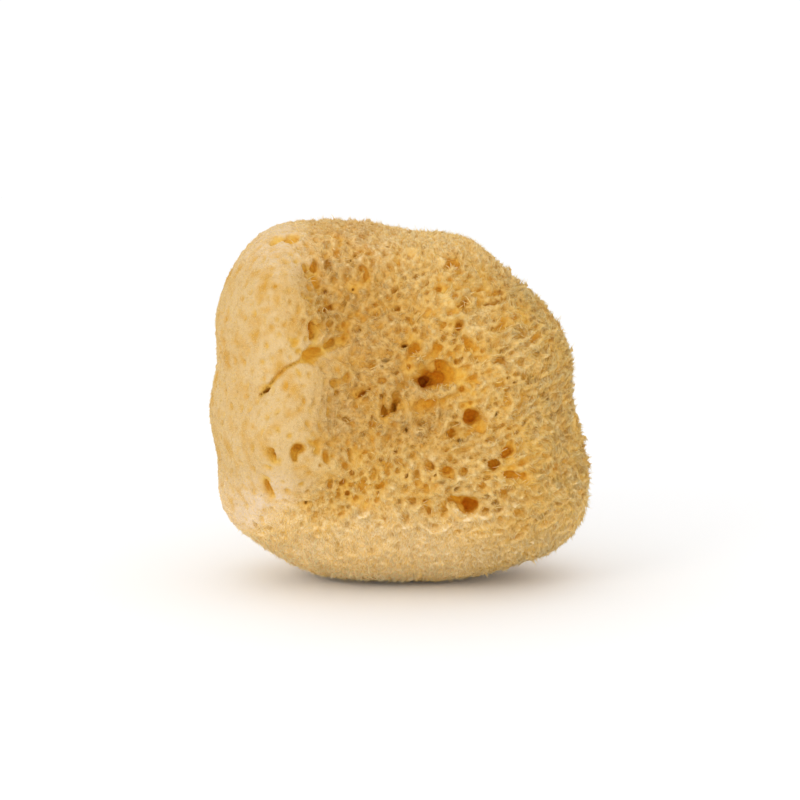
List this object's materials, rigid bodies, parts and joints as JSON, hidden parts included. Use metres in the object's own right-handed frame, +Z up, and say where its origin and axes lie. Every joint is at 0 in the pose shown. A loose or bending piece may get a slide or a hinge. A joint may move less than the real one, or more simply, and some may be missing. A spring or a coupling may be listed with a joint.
{
  "type": "sea sponge",
  "caption": "Natural wool sea sponge with a rounded lobed body, porous fuzzy skin and large breathing holes, trimmed flat underneath to stand.",
  "frame": {"origin": "middle of the sponge's footprint box, on the surface it stands on", "axes": "+Z up; +X along the broad face, which is the longest way; -Y out of the broad face with the large breathing holes"},
  "size_m": [0.1284, 0.0964, 0.1215],
  "materials": {
    "spongin": "matte"
  },
  "bodies": {
    "root": {"sponge": "spongin"}
  },
  "joints": []
}
